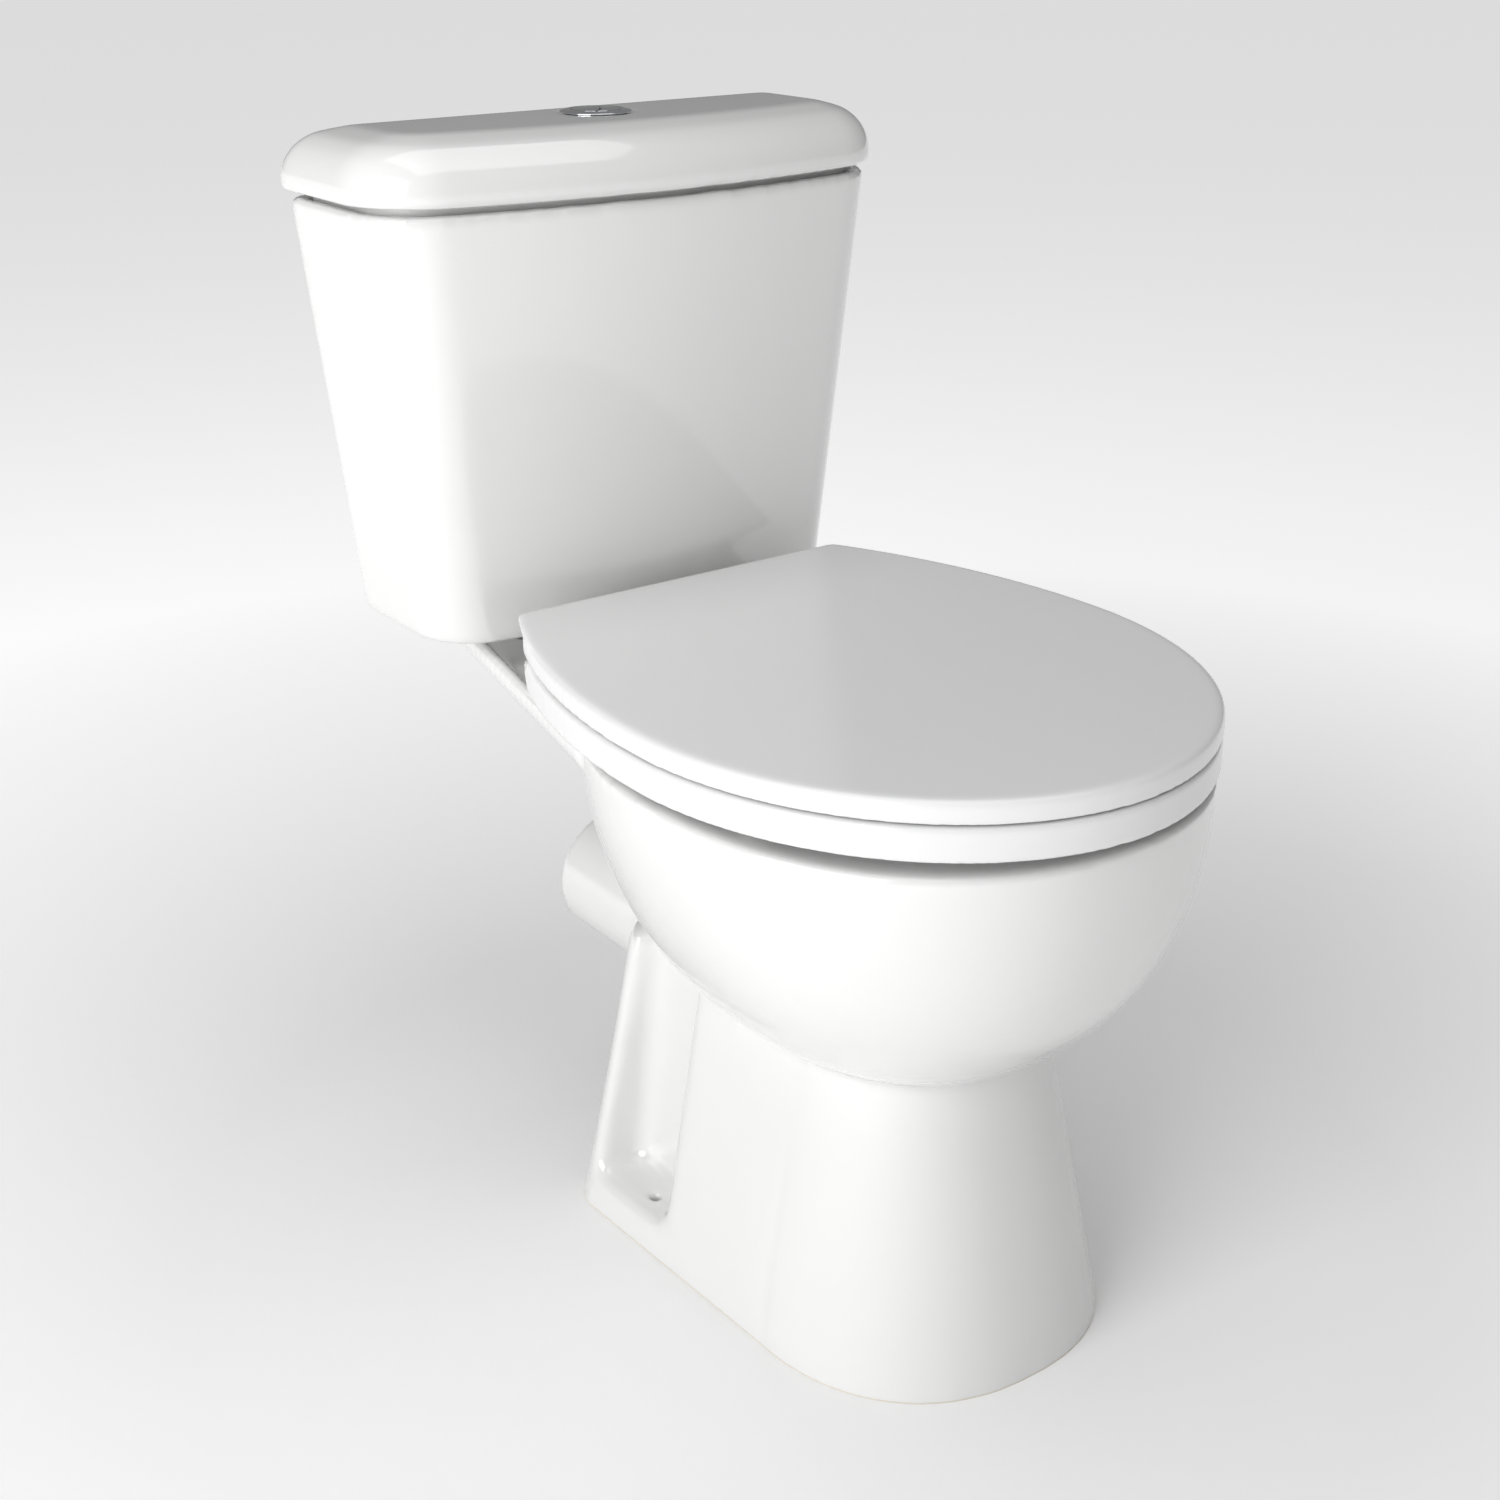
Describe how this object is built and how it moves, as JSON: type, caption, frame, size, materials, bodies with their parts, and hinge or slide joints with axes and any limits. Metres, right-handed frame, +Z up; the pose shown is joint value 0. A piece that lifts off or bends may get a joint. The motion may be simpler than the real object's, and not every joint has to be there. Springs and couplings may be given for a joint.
{
  "type": "toilet",
  "caption": "Close coupled floor standing toilet with a horizontal outlet, hinged seat and lid, dual flush button and working cistern valves.",
  "frame": {"origin": "on the floor, at the centre of the object's box", "axes": "+Z up, the bowl's front faces -Y, the wall is at +Y, X runs across"},
  "size_m": [0.4196, 0.624, 0.76],
  "materials": {
    "china": "white glaze, glossy",
    "seat_plastic": "white, polished",
    "hinge_plastic": "white moulded",
    "buffer_rubber": "soft, off-white",
    "chrome": "polished",
    "valve_white": "moulded",
    "valve_blue": "moulded",
    "float_grey": "moulded",
    "seal_rubber": "black",
    "steel": "zinc plated"
  },
  "bodies": {
    "toilet": {"pan": "china", "cistern": "china", "hinge_posts": "hinge_plastic", "hinge_pins": "steel", "seat_bolts": "hinge_plastic", "seat_bolt_washers": "buffer_rubber", "seat_wing_nuts": "hinge_plastic", "flush_valve_body": "valve_white", "valve_base_washer": "seal_rubber", "valve_backnut": "valve_white", "doughnut_washer": "seal_rubber", "lever_pin": "steel", "fill_valve_body": "valve_white", "fill_valve_cap": "valve_blue", "fill_valve_washer": "seal_rubber", "fill_valve_backnut": "valve_white", "float_lever_pin": "steel", "coupling_bolts": "steel", "coupling_seals": "seal_rubber", "coupling_washers": "steel", "coupling_wing_nuts": "steel"},
    "cistern_cover": {"cistern_lid": "china", "button_bezel": "chrome", "bezel_nut": "valve_white", "full_flush_spring": "steel", "half_flush_spring": "steel"},
    "full_button": {"full_flush_button": "chrome", "full_flush_rod": "valve_white"},
    "half_button": {"half_flush_button": "chrome", "half_flush_rod": "valve_white"},
    "seat_ring": {"seat": "seat_plastic", "seat_buffers": "buffer_rubber"},
    "lid": {"seat_lid": "seat_plastic", "lid_buffers": "buffer_rubber"},
    "flush_stem": {"overflow_tube": "valve_white", "valve_seal": "seal_rubber", "lift_yoke": "valve_white"},
    "half_float": {"half_flush_float": "valve_blue"},
    "full_rocker": {"full_flush_lever": "valve_blue"},
    "half_rocker": {"half_flush_lever": "valve_blue"},
    "float": {"float_cup": "float_grey", "float_rod": "float_grey"},
    "float_arm": {"float_lever": "valve_blue"}
  },
  "joints": [
    {"name": "seat_hinge", "type": "hinge", "parent": "toilet", "child": "seat_ring", "pos_m": [0, 0.104, 0.434], "axis": [1, 0, 0], "range_deg": [-92, 0]},
    {"name": "lid_hinge", "type": "hinge", "parent": "seat_ring", "child": "lid", "pos_m": [0, 0.104, 0.434], "axis": [-1, 0, 0], "range_deg": [0, 92]},
    {"name": "cistern_cover_lift", "type": "slide", "parent": "toilet", "child": "cistern_cover", "axis": [0, 0, 1], "range_m": [0, 0.12]},
    {"name": "full_flush_press", "type": "slide", "parent": "cistern_cover", "child": "full_button", "axis": [0, 0, -1], "range_m": [0, 0.006], "stiffness_N_per_m": 250, "springref_m": -0.004, "deforming": ["full_flush_spring"]},
    {"name": "half_flush_press", "type": "slide", "parent": "cistern_cover", "child": "half_button", "axis": [0, 0, -1], "range_m": [0, 0.006], "stiffness_N_per_m": 250, "springref_m": -0.004, "deforming": ["half_flush_spring"]},
    {"name": "flush_valve_lift", "type": "slide", "parent": "toilet", "child": "flush_stem", "axis": [0, 0, 1], "range_m": [0, 0.0122]},
    {"name": "half_flush_float_lift", "type": "slide", "parent": "toilet", "child": "half_float", "axis": [0, 0, 1], "range_m": [0, 0.0122]},
    {"name": "full_rocker_pivot", "type": "hinge", "parent": "toilet", "child": "full_rocker", "pos_m": [0, 0.237, 0.6906], "axis": [0, -1, 0], "range_deg": [0, 32]},
    {"name": "half_rocker_pivot", "type": "hinge", "parent": "toilet", "child": "half_rocker", "pos_m": [0, 0.237, 0.6906], "axis": [0, 1, 0], "range_deg": [0, 32]},
    {"name": "float_rise", "type": "slide", "parent": "toilet", "child": "float", "axis": [0, 0, 1], "range_m": [0, 0.012]},
    {"name": "float_arm_pivot", "type": "hinge", "parent": "toilet", "child": "float_arm", "pos_m": [0.11, 0.237, 0.652], "axis": [0, 1, 0], "range_deg": [0, 32]}
  ],
  "couplings": [
    {"joint": "flush_valve_lift", "follows": "full_flush_press", "ratio": 2},
    {"joint": "full_rocker_pivot", "follows": "full_flush_press", "rad_per_m": 83.333},
    {"joint": "half_flush_float_lift", "follows": "half_flush_press", "ratio": 2},
    {"joint": "half_rocker_pivot", "follows": "half_flush_press", "rad_per_m": 83.333},
    {"joint": "float_arm_pivot", "follows": "float_rise", "rad_per_m": 41.667}
  ]
}
